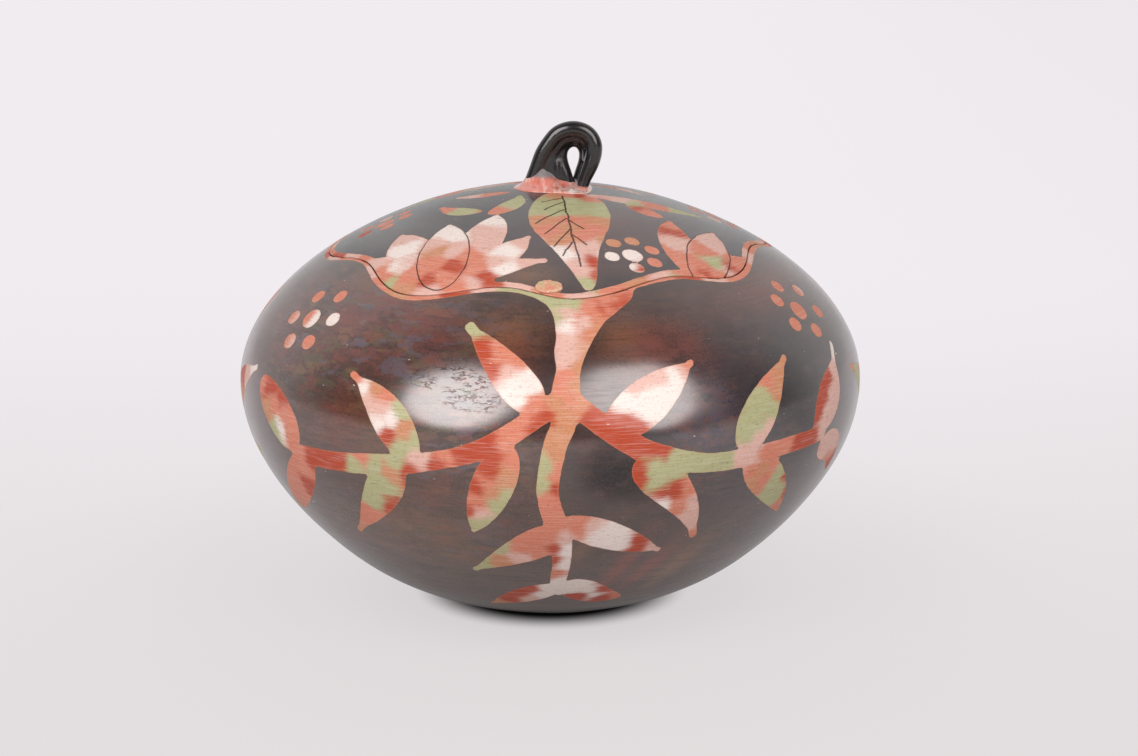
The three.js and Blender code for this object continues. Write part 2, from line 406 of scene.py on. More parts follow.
class Brush:  # gathers the painted shapes of one shell, and where each slip was dabbed
    def __init__(self, where):
        self.where = where
        self.edge = np.full(where["x"].shape, farAway)  # millimetres to the nearest painted edge
        self.scored = np.full(where["x"].shape, farAway)  # the same for shapes with a scored outline
        self.dabs = {slip: [] for slip in slips}

    def dab(self, slip, spot):
        self.dabs[slip].append([float(part) for part in spot])

    def stroke(self, sheet, line, widths, paint=(), fillet=0.0, scored=False):
        across, along = sheet.flat(self.where)
        reach = max(widths) / 2 + farAway
        low, high = line.min(0) - reach, line.max(0) + reach
        near = (across > low[0]) & (across < high[0]) & (along > low[1]) & (along < high[1])
        near &= ~self.where["inner"]
        spots = np.stack([across[near], along[near]], 1)
        best = np.full(len(spots), farAway)
        for a, b, wide, nextWide in zip(line, line[1:], widths, widths[1:]):
            step = b - a
            share = np.clip((spots - a) @ step / max(step @ step, 1e-9), 0, 1)
            away = np.hypot(*(spots - a - share[:, None] * step).T)
            best = np.minimum(best, away - (wide + (nextWide - wide) * share) / 2)
        self.edge[near] = join(self.edge[near], best, fillet)
        if scored:
            self.scored[near] = np.minimum(self.scored[near], best)
        for slip, share, side in paint:  # share of the way along, side from -1 to 1, left positive
            index = min(int(share * (len(line) - 1)), len(line) - 2)
            step = line[index + 1] - line[index]
            left = np.array([-step[1], step[0]]) / np.linalg.norm(step)
            spot = line[index] + left * side * max(widths) / 2
            self.dab(slip, sheet.lift(*spot))

    def leaf(self, sheet, root, tip, bow, width, fullest, taper, paint, tipWidth=2.1, scored=False):
        root, tip = sheet.place(*root), sheet.place(*tip)
        way = tip - root
        left = np.array([-way[1], way[0]]) / np.linalg.norm(way)
        middle = (root + tip) / 2 + 2 * bow * left
        t = np.linspace(0, 1, 36)
        line = np.outer((1 - t) ** 2, root) + np.outer(2 * t * (1 - t), middle) + np.outer(t**2, tip)
        swell = np.sin(math.pi * t ** (math.log(0.5) / math.log(fullest))) ** taper
        blunt = tipWidth * np.clip(2.5 * t - 1, 0, 1)
        self.stroke(sheet, line, np.maximum(width * np.abs(swell), blunt), paint, scored=scored)

    def stem(self, sheet, stations, paint, fillet=0.0):
        rows = smoothRows([(*sheet.place(a, b), width) for a, b, width in stations])
        self.stroke(sheet, rows[:, :2], rows[:, 2], paint, fillet)

    def dots(self, sheet, middle, size, ring, paint):
        spots = [(0.0, 0.0, size["middle"])] + [(*spot, size["dot"]) for spot in ring]
        for (dx, dy, wide), slip in zip(spots, paint):
            spot = sheet.place(*middle) + np.array([dx, dy])
            line = np.array([spot - (wide * 0.07, 0), spot + (wide * 0.07, 0)])
            self.stroke(sheet, line, [wide * 0.93] * 2)
            self.dab(slip[0], sheet.lift(*(spot - (wide * 0.25, 0))))
            self.dab(slip[-1], sheet.lift(*(spot + (wide * 0.25, 0))))

    def seamBand(self, side, width, cycle, clear=()):
        # a band of slip along the cut, wider and narrower by turns
        where, turns = self.where, self.where["turn"]
        away = side * (where["climb"] - climbOf(seamRise(turns)))
        swell = spotNoise(60 * np.sin(turns), 60 * np.cos(turns), side * 9.0 + 0 * away, 16)
        banded = np.minimum(self.edge, away - width * (1 + 0.5 * swell))
        self.edge = np.where(where["inner"], self.edge, banded)
        for index, turn in enumerate(np.radians(np.arange(-180, 180, 7.5))):
            ways = [abs(wrapTurn(turn - math.radians(trunk + 6))) for trunk in clear]
            if min(ways, default=math.pi) < math.radians(17):  # the trunk has its own slips there
                continue
            rise = seamRise(turn) + side * 1.0
            radius = formRadius(rise)
            spot = radius * math.sin(turn), -radius * math.cos(turn), rise
            self.dab(cycle[index % len(cycle)], spot)

    def keep(self, piece):
        where = self.where
        spots = np.stack([where["x"], where["y"], where["rise"]], 1)
        near = self.edge < 4
        weights = np.full((len(spots), 6), -30.0)
        for column, slip in enumerate(slips):
            best = np.full(near.sum(), 900.0)
            for spot in self.dabs[slip]:
                best = np.minimum(best, ((spots[near] - spot) ** 2).sum(1))
            weights[near, column] = -np.sqrt(best)
        keepField(piece, "paintEdge", np.where(where["inner"], farAway, self.edge))
        keepField(piece, "scoredEdge", self.scored)
        keepField(piece, "firstSlips", weights[:, :3], "FLOAT_VECTOR")
        keepField(piece, "otherSlips", weights[:, 3:], "FLOAT_VECTOR")
        keepField(piece, "climb", where["climb"] * mm)
        keepField(piece, "inside", where["inner"].astype(float))


def smokeTones(piece, where, base, clouds):
    # soft clouds of smoke and bare clay: tone, turn, rise, reach across and up, share, lean
    colour = np.tile(np.array(tones[base][:3]), (len(where["x"]), 1))
    marbled = np.full(len(where["x"]), 0.12)
    for tone, turn, rise, wide, high, share, *lean in clouds:
        sideways = wrapTurn(where["turn"] - math.radians(turn)) * float(formRadius(rise))
        upwards = where["climb"] - float(climbOf(rise))
        cosine, sine = math.cos(math.radians(sum(lean))), math.sin(math.radians(sum(lean)))
        across, along = sideways * cosine - upwards * sine, upwards * cosine + sideways * sine
        weight = share * np.exp(-((across / wide) ** 2) - (along / high) ** 2)
        if tone == "marbled":
            marbled = np.maximum(marbled, weight)
            continue
        colour = colour * (1 - weight[:, None]) + np.array(tones[tone][:3]) * weight[:, None]
    keepField(piece, "marbled", marbled)
    keepField(piece, "smoke", np.hstack([colour, np.ones((len(colour), 1))]), "FLOAT_COLOR")


seamBands = {  # width in millimetres, and slips by turns
    "jar": (2.2, (salmon, blush, salmon, orange, salmon, red, blush, salmon)),
    "lid": (1.9, (salmon, blush, salmon, orange, blush, salmon, red, blush)),
}

vine = {  # one vine hangs from the cut; widths in millimetres
    "turns": (0, 184),
    "flank": [(4.1, 26.8, 7.6), (6.6, 31.6, 8), (10, 35.8, 8), (14.4, 38.7, 8), (17.6, 40.6, 8)],
    "flankPaint": [(orange, 0.1, -0.6), (orange, 0.3, -0.5), (orange, 0.45, -0.7), (salmon, 0.55, 0),
                   (salmon, 0.66, -0.3), (red, 0.74, -0.4), (salmon, 0.76, 0.3), (salmon, 0.86, 0),
                   (red, 0.92, -0.3), (salmon, 0.98, 0)],
    "trunk": [(7.8, 43.5, 26), (7.2, 40, 20), (6.0, 36, 15.5), (5.0, 32, 11.4), (4.1, 27, 8.2),
              (3.6, 22, 7.2), (3.1, 17, 8), (2.9, 12, 9)],
    "flare": [(green, -11, 40.6), (green, -7.5, 39.6), (green, -4, 38.8), (green, -1, 38),
              (green, 2.5, 38.6), (green, 2, 36), (green, 5.5, 38.8), (salmon, 9, 38), (red, 12, 37),
              (salmon, 14.5, 39), (red, 17.5, 39.8), (salmon, 22, 41), (salmon, 6, 35.5),
              (salmon, 10.5, 34)],
    "trunkPaint": [(blush, 0.3, -0.35), (cream, 0.33, -0.05), (blush, 0.34, 0.2), (cream, 0.4, -0.15),
                   (blush, 0.42, 0.15), (salmon, 0.44, 0.35), (blush, 0.49, -0.2), (blush, 0.52, 0),
                   (blush, 0.55, 0.2), (orange, 0.57, 0.42), (blush, 0.6, 0), (blush, 0.66, -0.15),
                   (orange, 0.68, 0.3), (salmon, 0.76, -0.05), (orange, 0.82, 0.2),
                   (salmon, 0.87, -0.1), (orange, 0.96, -0.2), (orange, 0.96, 0.25)],
    "left": [(2.4, 15.2, 6.4), (-3.0, 9.0, 6.3), (-7.5, 3.9, 6.2), (-13, -0.9, 5.9), (-19, -3.9, 5.6),
             (-26.4, -6.5, 6.6), (-33, -8, 6.8), (-40.8, -9.3, 6.3), (-48.5, -10, 6.4), (-51, -10.2, 6)],
    "leftPaint": [(orange, 0.02, 0), (salmon, 0.07, -0.6), (red, 0.07, 0.3), (red, 0.12, 0.6),
                  (salmon, 0.13, -0.3), (salmon, 0.19, 0), (salmon, 0.24, 0.6), (red, 0.28, 0),
                  (red, 0.33, 0.3), (red, 0.38, -0.3), (salmon, 0.42, -0.2), (red, 0.45, 0.6),
                  (blush, 0.5, -0.4), (red, 0.53, 0.8), (green, 0.58, -0.2), (orange, 0.6, 0.6),
                  (green, 0.65, 0.2), (salmon, 0.69, -0.7), (green, 0.71, 0.3), (red, 0.755, -0.4),
                  (red, 0.79, 0.4), (red, 0.87, 0), (salmon, 0.93, -0.3), (salmon, 0.97, 0.2)],
    "right": [(2.8, 16.1, 6.4), (8.8, 7.9, 6.5), (14.6, 1.1, 6.8), (20, -3.4, 7.4), (28, -6.4, 6.2),
              (36, -6.8, 6.2), (44.5, -6.2, 5.6), (54, -6, 5.4), (57, -6, 5)],
    "rightPaint": [(salmon, 0.04, 0), (red, 0.1, 0), (red, 0.16, 0.5), (red, 0.2, -0.4),
                   (red, 0.26, 0.2), (red, 0.33, 0.5), (green, 0.36, -0.8), (green, 0.42, 0.1),
                   (red, 0.36, 0.6), (green, 0.48, -0.2), (green, 0.56, 0.2), (blush, 0.63, 0.3),
                   (blush, 0.65, -0.4), (salmon, 0.71, 0), (salmon, 0.78, 0.3), (red, 0.82, -0.3),
                   (red, 0.9, 0), (blush, 0.97, 0)],
    "tail": [(3.4, 13.4, 7.4), (2.5, 7.5, 6.5), (1.25, 2.6, 6.4), (0.4, -4.2, 6.1),
             (-0.15, -11.2, 5.9), (0.4, -18, 6.2), (1.4, -24, 6.8), (2.2, -30, 7), (2.6, -38, 6),
             (2.1, -47, 5.6), (2.6, -53, 3)],
    "tailPaint": [(orange, 0.06, 0), (orange, 0.13, 0.3), (orange, 0.19, -0.4), (orange, 0.22, 0.5),
                  (green, 0.29, -0.6), (orange, 0.26, 0.1), (salmon, 0.32, 0.7), (green, 0.32, -0.4),
                  (salmon, 0.35, 0.6), (green, 0.39, -0.4), (red, 0.41, 0.7), (salmon, 0.45, 0),
                  (salmon, 0.51, -0.3), (salmon, 0.55, 0.4), (salmon, 0.6, 0), (salmon, 0.66, -0.4),
                  (blush, 0.68, 0.5), (red, 0.74, -0.6), (cream, 0.75, 0.5), (red, 0.81, -0.7),
                  (cream, 0.82, 0.3), (salmon, 0.87, -0.6), (cream, 0.9, 0.1), (cream, 0.96, 0)],
}

vineLeaves = [  # root and tip as (degrees, rise), then bow, width, where it is fullest, and taper
    ((-2.6, 13.6), (-16.4, 32.7), -0.8, 11.6, 0.24, 0.68,
     [(green, 0.97, 0), (green, 0.9, -0.1), (red, 0.8, 0.1), (red, 0.66, 0.3), (salmon, 0.62, -0.5),
      (salmon, 0.45, -0.7), (red, 0.5, 0.4), (salmon, 0.54, 0), (blush, 0.38, 0), (cream, 0.28, 0.1),
      (cream, 0.18, -0.5), (cream, 0.17, 0.6)], 3.5),
    ((-23.4, -4.8), (-37.7, 17.4), -3.1, 12.3, 0.34, 1.04,
     [(salmon, 0.96, 0), (cream, 0.84, 0.2), (blush, 0.74, 0.5), (orange, 0.74, -0.4),
      (salmon, 0.6, -0.5), (blush, 0.56, 0.1), (cream, 0.48, 0.6), (cream, 0.42, 0),
      (green, 0.4, -0.8), (red, 0.33, 0.5), (orange, 0.26, -0.3), (green, 0.15, 0.3),
      (green, 0.15, -0.7)]),
    ((-27.3, -7.8), (-41.6, -33.6), 1.6, 11.9, 0.22, 0.96,
     [(green, 0.2, -0.2), (green, 0.34, -0.6), (green, 0.45, 0), (red, 0.4, 0.8), (salmon, 0.6, 0.7),
      (salmon, 0.66, 0), (salmon, 0.8, 0), (orange, 0.95, 0)]),
    ((-6.7, 0.2), (-13.9, -26.6), 0, 12.6, 0.38, 0.63,
     [(red, 0.08, -0.6), (salmon, 0.1, 0.5), (orange, 0.25, 0.5), (red, 0.3, -0.3),
      (salmon, 0.42, -0.3), (red, 0.5, -0.7), (salmon, 0.64, -0.7), (orange, 0.3, 0.3),
      (green, 0.46, 0.7), (orange, 0.46, 0.2), (green, 0.54, 0.9), (green, 0.6, 0.5),
      (salmon, 0.66, -0.2), (blush, 0.78, 0.1), (red, 0.78, -0.6), (green, 0.84, 0.4), (green, 0.95, 0)]),
    ((-52.2, -4.3), (-63.4, 8.1), -0.2, 15.4, 0.24, 0.45,
     [(salmon, 0.97, 0), (red, 0.85, -0.2), (red, 0.7, -0.6), (orange, 0.62, 0.4), (salmon, 0.5, -0.2),
      (red, 0.42, -0.7), (green, 0.3, 0.7), (cream, 0.2, 0.3), (salmon, 0.25, -0.3), (salmon, 0.05, 0)]),
    ((-47.9, -11.3), (-64.6, -33.6), 0.8, 12, 0.34, 0.5,
     [(salmon, 0.15, 0), (red, 0.3, 0.6), (salmon, 0.4, -0.3), (salmon, 0.6, 0.2), (salmon, 0.8, 0),
      (orange, 0.93, 0)]),
    ((9.5, 3.9), (27.2, 22.4), 0.8, 13.8, 0.4, 0.92,
     [(salmon, 0.97, 0), (blush, 0.9, 0), (cream, 0.8, 0), (blush, 0.7, 0.5), (cream, 0.6, -0.3),
      (cream, 0.48, 0.2), (blush, 0.5, 0.8), (cream, 0.42, -0.3), (cream, 0.33, 0.5),
      (red, 0.27, -0.6), (red, 0.2, 0), (red, 0.08, 0)]),
    ((16.1, -5.6), (29.2, -31.6), 2.8, 12.5, 0.22, 0.8,
     [(red, 0.04, -0.5), (green, 0.12, 0.1), (green, 0.22, 0.7), (green, 0.2, -0.2), (red, 0.32, -0.5),
      (red, 0.4, 0), (salmon, 0.46, 0.6), (cream, 0.4, -0.9), (salmon, 0.55, -0.2), (blush, 0.62, 0.4),
      (blush, 0.74, 0.1), (blush, 0.86, 0), (salmon, 0.98, 0)], 2.9),
    ((35.9, -1.7), (49.0, 19.4), 1.5, 13.2, 0.22, 0.9,
     [(orange, 0.96, 0), (orange, 0.84, 0), (orange, 0.72, -0.1), (salmon, 0.64, 0.4),
      (orange, 0.6, -0.5), (green, 0.46, 0.2), (green, 0.45, -0.5), (green, 0.3, 0.4),
      (green, 0.25, -0.2), (green, 0.1, 0.2), (blush, 0.25, -0.9), (blush, 0.1, -0.7)]),
    ((37.6, -8.8), (51.2, -29.7), 1, 12.5, 0.29, 0.66,
     [(salmon, 0.08, -0.3), (orange, 0.2, -0.7), (orange, 0.2, 0.1), (salmon, 0.3, 0.6),
      (salmon, 0.34, -0.1), (green, 0.42, 0.7), (green, 0.48, 0.1), (green, 0.6, -0.5),
      (green, 0.64, 0.4), (green, 0.74, 0), (red, 0.6, 0.95), (red, 0.82, 0.7), (salmon, 0.94, 0)]),
    ((54.1, -4.8), (67.4, 17.9), -0.7, 14.0, 0.35, 1.9,
     [(cream, 0.92, 0), (blush, 0.75, 0), (red, 0.55, 0.6), (red, 0.35, 0.7), (red, 0.15, 0.6),
      (blush, 0.5, -0.2), (blush, 0.3, -0.4), (blush, 0.1, -0.4)]),
    ((58.4, -11.3), (66.4, -21.3), 4.0, 10.6, 0.3, 0.45,
     [(blush, 0.2, 0), (blush, 0.5, 0), (salmon, 0.6, -0.5), (red, 0.9, -0.2)]),
    ((1.9, -26.9), (-16.2, -42.6), 0.5, 12.7, 0.22, 0.8,
     [(salmon, 0.15, 0), (salmon, 0.3, 0.7), (salmon, 0.4, -0.2), (blush, 0.5, 0.3),
      (green, 0.56, -0.8), (orange, 0.7, 0.1), (green, 0.8, -0.6), (green, 0.93, 0)]),
    ((2.8, -22.5), (22.5, -35.7), -0.3, 11.7, 0.36, 0.77,
     [(salmon, 0.1, 0.3), (salmon, 0.15, -0.3), (blush, 0.26, 0.2), (cream, 0.36, 0),
      (cream, 0.48, 0.5), (cream, 0.5, -0.4), (cream, 0.6, 0), (red, 0.73, 0.3), (red, 0.8, -0.2),
      (blush, 0.94, 0)]),
    ((2.5, -48.9), (-17.1, -59.7), 0.3, 10.4, 0.38, 0.81,
     [(red, 0.32, -0.5), (red, 0.5, -0.4), (red, 0.72, 0), (orange, 0.9, 0), (cream, 0.3, 0.5),
      (cream, 0.14, 0), (blush, 0.5, 0.7)]),
    ((5.8, -48.3), (19.5, -56.8), -2.9, 13.2, 0.35, 0.53,
     [(cream, 0.15, 0), (cream, 0.35, 0.3), (red, 0.5, 0.6), (cream, 0.56, 0), (red, 0.45, -0.5),
      (red, 0.75, -0.2), (salmon, 0.95, 0.3)]),
]

sideSpray = {  # an upright sprig between the two vines
    "turns": (92, -89),
    "stem": [(0, -52, 3), (0.5, -42, 5.4), (-0.5, -28, 5.8), (0.5, -12, 5.6), (0, 0, 4.6), (0, 8, 3)],
    "stemPaint": [(salmon, 0.1, 0), (red, 0.25, 0.3), (orange, 0.4, 0), (green, 0.55, -0.3),
                  (red, 0.6, 0.5), (salmon, 0.75, 0), (blush, 0.9, 0)],
    "leaves": [
        ((0.5, -12), (21, 10.5), 1.6, 12.5, 0.34, 0.9,
         [(cream, 0.95, 0), (blush, 0.8, 0), (red, 0.6, 0.4), (orange, 0.5, -0.3), (salmon, 0.35, 0),
          (salmon, 0.15, 0)]),
        ((-0.5, -12), (-19, 9), -1.6, 12.5, 0.34, 0.9,
         [(orange, 0.95, 0), (green, 0.78, 0), (green, 0.6, 0.4), (salmon, 0.5, -0.3), (red, 0.35, 0),
          (red, 0.15, 0)]),
        ((0, -30), (18, -17), 1.2, 11.5, 0.36, 0.8,
         [(green, 0.93, 0), (salmon, 0.7, 0), (cream, 0.5, 0.3), (cream, 0.45, -0.4), (red, 0.2, 0)]),
        ((0, -32), (-16, -22), -1.2, 11, 0.36, 0.8,
         [(red, 0.93, 0), (blush, 0.7, 0), (cream, 0.5, 0.3), (salmon, 0.45, -0.4), (orange, 0.2, 0)]),
        ((0, 2), (1.5, 31), 0.8, 11, 0.4, 0.9,
         [(orange, 0.95, 0), (salmon, 0.8, 0), (red, 0.6, 0.4), (green, 0.55, -0.4), (green, 0.35, 0),
          (blush, 0.15, 0)]),
    ],
}

rosettes = {  # dots round a middle one; offsets in millimetres
    "size": {"middle": 7.2, "dot": 5.2},
    "crownSize": {"middle": 6.0, "dot": 4.4},
    "wall": [
        ((-57.1, 28.2), [(-6.5, 7.5), (5.0, 10.1), (-10, -1.8), (10.5, 1.9), (-3.3, -9), (6.3, -7.3)],
         [(salmon, cream), (salmon,), (salmon,), (salmon, blush), (cream,), (salmon, blush), (salmon,)]),
        ((63.5, 28.9), [(11.7, 5.5), (-7.0, 5.8), (12.1, -3.5), (1.0, 10.1), (-7.7, -3.6), (1.7, -8.1)],
         [(salmon,), (salmon, blush), (salmon,), (salmon,), (salmon,), (salmon,), (salmon,)]),
    ],
}


def wallLeaf(brush, turn, leaf):
    radius = float(formRadius((leaf[0][1] + leaf[1][1]) / 2))
    brush.leaf(WallSheet(turn, radius), *leaf)


def paintJar(jar, where):
    brush = Brush(where)
    brush.seamBand(-1, *seamBands["jar"], vine["turns"])
    for turn in vine["turns"]:
        sheet = WallSheet(turn, 92)
        brush.stem(sheet, vine["trunk"], vine["trunkPaint"], 9)
        brush.stem(sheet, vine["flank"], vine["flankPaint"], 3)
        for slip, across, rise in vine["flare"]:
            brush.dab(slip, sheet.lift(*sheet.place(across, rise)))
        for part in ("left", "right", "tail"):
            sheet = WallSheet(turn, 98 if part != "tail" else 90)
            brush.stem(sheet, vine[part], vine[part + "Paint"], 0.6)
        for leaf in vineLeaves:
            wallLeaf(brush, turn, leaf)
        for middle, ring, paint in rosettes["wall"]:
            radius = float(formRadius(middle[1]))
            brush.dots(WallSheet(turn, radius), middle, rosettes["size"], ring, paint)
    for turn in sideSpray["turns"]:
        brush.stem(WallSheet(turn, 90), sideSpray["stem"], sideSpray["stemPaint"])
        for leaf in sideSpray["leaves"]:
            wallLeaf(brush, turn, leaf)
    brush.keep(jar)
    smokeTones(jar, where, brown, [
        (charcoal, 40, 15, 60, 30, 0.9), (charcoal, -12, 22, 26, 22, 0.8), (brown, -45, 5, 40, 40, 0.8),
        (ochre, -9, 32, 9, 9, 0.8), (ochre, 15, 30, 7, 8, 0.7), (ochre, -42, 40, 22, 7, 0.6),
        (plum, -45, 33, 34, 8, 0.6), (ash, 0, -52, 90, 16, 0.7), (ash, -30, -35, 40, 16, 0.5),
        (charcoal, 30, -12, 30, 24, 0.7), (brown, 10, -28, 40, 14, 0.5), (night, 16, -10, 16, 12, 0.6),
        (charcoal, 184, 20, 90, 26, 0.8), (ash, 180, -50, 110, 18, 0.6), (plum, 100, 25, 40, 20, 0.5),
        (charcoal, -95, 10, 40, 30, 0.6), (ochre, 140, 36, 30, 8, 0.5), (plum, -36, 30, 26, 12, 0.8),
        (umber, 22, 27, 14, 10, 0.7), (umber, 62, 36, 30, 8, 0.5), (umber, 15.5, -42, 3.0, 16, 1.0, 18),
        (umber, 22, -44, 3.6, 15, 1.0, 22), (ochre, 29, -44, 4.5, 14, 0.9, 22),
        (night, 11, -6, 13, 11, 0.95), (ochre, -24, -32, 18, 14, 0.6), (ochre, 6, -34, 3, 12, 0.6, 30),
        (night, -7, -34, 9, 6, 0.6), (dusk, 28, 8, 11, 13, 0.8), (night, 52, -2, 13, 15, 0.6),
        (umber, -38, 1, 11, 8, 0.4), (plum, 24, 24, 10, 8, 0.5), (ochre, -30, 4, 10, 8, 0.4),
        (umber, -8, 24, 8, 12, 0.5), (plum, -70, 20, 30, 20, 0.6), ("marbled", -42, 26, 48, 26, 1.0),
        ("marbled", -14, 4, 22, 26, 0.8), ("marbled", 26, 4, 16, 20, 0.6),
        ("marbled", -25, -30, 40, 16, 0.6), ("marbled", 145, 24, 60, 26, 1.0),
        ("marbled", -120, 0, 60, 40, 0.8),
    ])


veinedLeaf = {  # on the lid, in plan
    "turns": (0, 180),
    "spine": [(5.4, -11.5, 8), (6.0, -15.5, 15.6), (6.2, -21, 21.8), (6.2, -28, 25), (6.1, -35, 24.6),
              (6.9, -42, 20), (8.2, -50, 14.2), (10.0, -58, 9.2), (11.3, -64, 6), (11.7, -67, 3.6)],
    "paint": [(salmon, 0.02, 0), (red, 0.06, 0.3), (orange, 0.1, -0.5), (salmon, 0.12, 0.6),
              (green, 0.14, -0.6), (green, 0.22, -0.6), (green, 0.2, 0), (green, 0.24, 0.7),
              (green, 0.32, -0.8), (green, 0.34, 0.1), (green, 0.34, 0.7), (green, 0.36, -0.4),
              (orange, 0.44, 0.7), (salmon, 0.45, 0), (orange, 0.45, -0.6), (orange, 0.52, 0),
              (salmon, 0.54, 0.5), (salmon, 0.54, -0.5), (salmon, 0.6, 0.2), (orange, 0.62, -0.2),
              (blush, 0.69, 0), (blush, 0.69, 0.4), (cream, 0.72, -0.3), (red, 0.79, 0.3),
              (blush, 0.78, -0.1), (blush, 0.85, 0), (red, 0.88, 0.2), (green, 0.95, 0),
              (green, 0.99, 0)],
}
veins = [  # knife-drawn lines on the veined leaf: from and to, in plan
    (3.9, -14.0, 5.2, -28.5), (5.2, -28.5, 6.9, -43.5), (6.9, -43.5, 9.5, -59.5),
    (3.9, -16.6, -2.3, -20.8), (4.1, -20.6, -1.6, -27.2), (4.6, -27.0, -4.4, -37.0),
    (5.2, -33.4, -1.2, -43.8), (6.3, -40.4, 1.6, -50.6), (7.0, -48.0, 4.2, -55.0),
    (5.9, -34.6, 10.4, -39.8), (7.2, -43.8, 11.4, -49.0),
]

blossoms = [  # half-open flowers that grow from the cut, their front petals scored round
    {"petals": [
        ((-33, -59), (-57.5, -35), 1.5, 12.5, 0.45, 0.75,
         [(blush, 0.93, 0), (salmon, 0.7, 0.2), (cream, 0.55, -0.3), (salmon, 0.3, 0)]),
        ((-29, -60.5), (-6.5, -45.5), -2.6, 12, 0.45, 0.75,
         [(blush, 0.93, 0), (cream, 0.7, 0.2), (blush, 0.5, -0.3), (salmon, 0.3, 0)]),
        ((-47, -51), (-17, -65.5), -2.2, 8.5, 0.5, 0.6,
         [(salmon, 0.15, 0), (red, 0.4, 0), (salmon, 0.6, 0), (blush, 0.85, 0)]),
        ((-33, -59), (-46, -27.5), 2.4, 15, 0.48, 0.7,
         [(blush, 0.93, 0), (cream, 0.72, 0.2), (blush, 0.5, 0.5), (salmon, 0.3, 0)]),
        ((-30, -60), (-16.5, -29.5), -2, 14.5, 0.48, 0.7,
         [(cream, 0.93, 0), (blush, 0.72, 0.2), (blush, 0.5, -0.5), (salmon, 0.3, 0)]),
    ], "front": [
        ((-32, -62), (-31, -30.5), 0.6, 16, 0.42, 0.7,
         [(cream, 0.93, 0), (cream, 0.78, -0.3), (blush, 0.66, 0.3), (orange, 0.55, 0.2),
          (blush, 0.5, -0.3), (salmon, 0.36, 0.3), (red, 0.24, -0.4), (salmon, 0.12, 0)]),
    ], "leaves": [
        ((-38, -57), (-59.5, -45), 1.4, 5.5, 0.45, 0.8, [(green, 0.85, 0), (green, 0.5, 0)]),
        ((-24, -65), (-1.5, -57.5), 1.6, 6, 0.45, 0.8, [(blush, 0.85, 0), (cream, 0.5, 0),
                                                        (red, 0.2, 0)]),
        ((-19, -27), (-9.5, -13.5), -2.6, 7.5, 0.45, 0.8,
         [(green, 0.85, 0), (green, 0.5, 0), (salmon, 0.2, 0)]),
        ((-21, -24), (-34, -12), 2.2, 6, 0.45, 0.8, [(salmon, 0.85, 0), (green, 0.4, 0)]),
        ((-10, 11), (-47, 7), -3, 7.5, 0.5, 0.7,
         [(green, 0.9, 0), (salmon, 0.6, 0), (blush, 0.35, 0), (blush, 0.1, 0)]),
    ]},
    {"petals": [
        ((46, -52), (63.5, -27), -1, 10.5, 0.45, 0.75,
         [(salmon, 0.93, 0), (salmon, 0.7, 0), (red, 0.5, 0), (salmon, 0.2, 0)]),
        ((34.5, -59.5), (57, -42), -1.8, 8, 0.5, 0.6,
         [(green, 0.2, 0), (salmon, 0.5, 0), (salmon, 0.8, 0)]),
        ((44.5, -53), (37.5, -23.5), 1.5, 12, 0.46, 0.7,
         [(salmon, 0.93, 0), (red, 0.75, 0), (blush, 0.6, 0), (salmon, 0.2, 0)]),
    ], "front": [
        ((45.5, -53.5), (51, -20.5), -0.8, 13, 0.45, 0.7,
         [(blush, 0.93, 0), (blush, 0.72, 0), (salmon, 0.55, 0.3), (green, 0.4, -0.4),
          (salmon, 0.25, 0)]),
    ], "leaves": [
        ((35, -21), (25, -12), 2.4, 7, 0.45, 0.8, [(green, 0.85, 0), (red, 0.55, 0), (salmon, 0.3, 0)]),
        ((12.5, 7), (29, 3), 1.5, 5, 0.5, 0.7, [(blush, 0.8, 0), (salmon, 0.3, 0)]),
    ]},
]
crownRosettes = {
    "ring": [(-5.7, 4.6), (0.0, 7.5), (6.0, 5.1), (-6.2, -2.3), (6.7, -1.0), (1.2, -5.6)],
    "dots": [((25.2, -50.9), [(cream,), (orange,), (orange,), (salmon,), (cream,), (salmon,),
                              (cream, red)]),
             ((-52.6, -6.8), [(salmon,), (salmon,), (blush,), (salmon,), (red,), (salmon,), (salmon,)])],
}


def paintLid(lid, where):
    brush = Brush(where)
    for turn in veinedLeaf["turns"]:
        sheet = CrownSheet(turn)
        brush.stem(sheet, veinedLeaf["spine"], veinedLeaf["paint"])
        for blossom in blossoms:
            for leaf in blossom["petals"] + blossom["leaves"]:
                brush.leaf(sheet, *leaf)
            for leaf in blossom["front"]:
                brush.leaf(sheet, *leaf, scored=True)
        for middle, paint in crownRosettes["dots"]:
            brush.dots(sheet, middle, rosettes["crownSize"], crownRosettes["ring"], paint)
    brush.seamBand(1, *seamBands["lid"])
    brush.keep(lid)
    smokeTones(lid, where, charcoal, [
        (ochre, -6, 45, 10, 6, 0.7), (brown, 16, 46, 14, 6, 0.6), (brown, -60, 50, 20, 10, 0.4),
        (plum, 30, 55, 30, 20, 0.4), (brown, 170, 46, 40, 8, 0.5),
    ])


# Shader maths: a wire is one output socket, and expressions on wires add nodes.
class Wire:
    def __init__(self, finish, socket):
        self.finish, self.socket = finish, socket

    def maths(self, operation, *terms):
        return self.finish.node("ShaderNodeMath", {"operation": operation}, dict(enumerate(terms)))

    def __add__(self, other):
        return self.maths("ADD", self, other)

    def __sub__(self, other):
        return self.maths("SUBTRACT", self, other)

    def __rsub__(self, other):
        return self.maths("SUBTRACT", other, self)

    def __mul__(self, other):
        return self.maths("MULTIPLY", self, other)

    def __truediv__(self, other):
        return self.maths("DIVIDE", self, other)

    def __pow__(self, other):
        return self.maths("POWER", self, other)

    __radd__, __rmul__ = __add__, __mul__

    def least(self, other):
        return self.maths("MINIMUM", self, other)

    def most(self, other):
        return self.maths("MAXIMUM", self, other)


